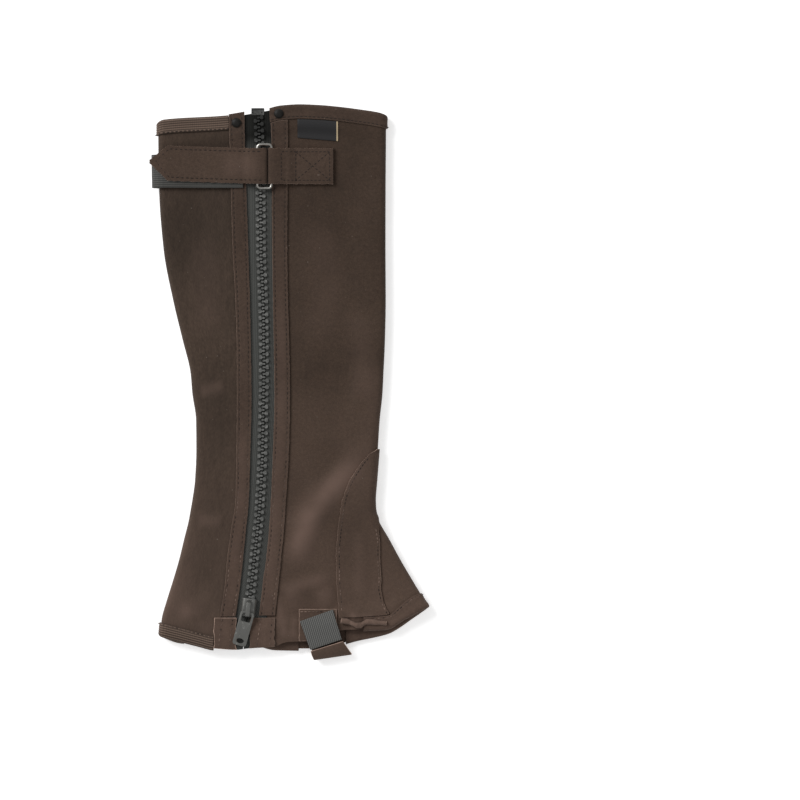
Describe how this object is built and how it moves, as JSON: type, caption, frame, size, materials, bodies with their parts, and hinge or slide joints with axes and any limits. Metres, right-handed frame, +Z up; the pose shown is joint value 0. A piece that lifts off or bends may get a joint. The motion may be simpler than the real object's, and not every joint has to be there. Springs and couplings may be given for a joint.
{
  "type": "half chap",
  "caption": "Half chap for one leg, laid flat: shaped legging with a long zip, upper strap with ring, gusseted ankle and strap under the foot.",
  "frame": {"origin": "middle of the box's underside, on the surface that the half chap lies on", "axes": "+Z up off the surface, +Y from the ankle to the knee, +X from the calf to the shin"},
  "size_m": [0.2129, 0.4223, 0.015],
  "materials": {
    "stretch_cloth": "brushed stretch cloth with a soft nap",
    "grained_hide": "soft matt suede-like hide",
    "webbing": "woven elastic webbing",
    "edge_elastic": "ribbed elastic binding",
    "zip_tape": "woven zip tape",
    "zip_teeth": "moulded zip teeth",
    "dark_metal": "dark plated metal",
    "label_cloth": "smooth woven label, left bare"
  },
  "bodies": {
    "chap": {"rear_panel": "stretch_cloth", "front_panel": "grained_hide", "gusset": "grained_hide", "ankle_overlay": "grained_hide", "inner_strip": "grained_hide", "facing_left": "grained_hide", "facing_right": "grained_hide", "facing_left_end": "grained_hide", "facing_right_end": "grained_hide", "top_binding_rear": "edge_elastic", "top_binding_front": "grained_hide", "bottom_binding_rear": "edge_elastic", "bottom_binding_inner": "grained_hide", "gusset_binding": "grained_hide", "zip_tape_left": "zip_tape", "zip_tape_right": "zip_tape", "zip_chain": "zip_teeth", "zip_box": "dark_metal", "zip_slider": "dark_metal", "snap_left": "dark_metal", "snap_right": "dark_metal", "strap_elastic": "webbing", "strap_tab": "grained_hide", "strap_anchor": "grained_hide", "ring": "dark_metal", "label": "label_cloth", "foot_elastic": "webbing", "foot_sleeve": "grained_hide", "patch_outer": "grained_hide", "patch_inner": "grained_hide"},
    "pull": {"zip_pull": "dark_metal"}
  },
  "joints": [
    {"name": "pull_hinge", "type": "hinge", "parent": "chap", "child": "pull", "pos_m": [-0.03389, -0.1744, 0.0122], "axis": [-0.9641, 0.2656, 0], "range_deg": [0, 140]}
  ]
}
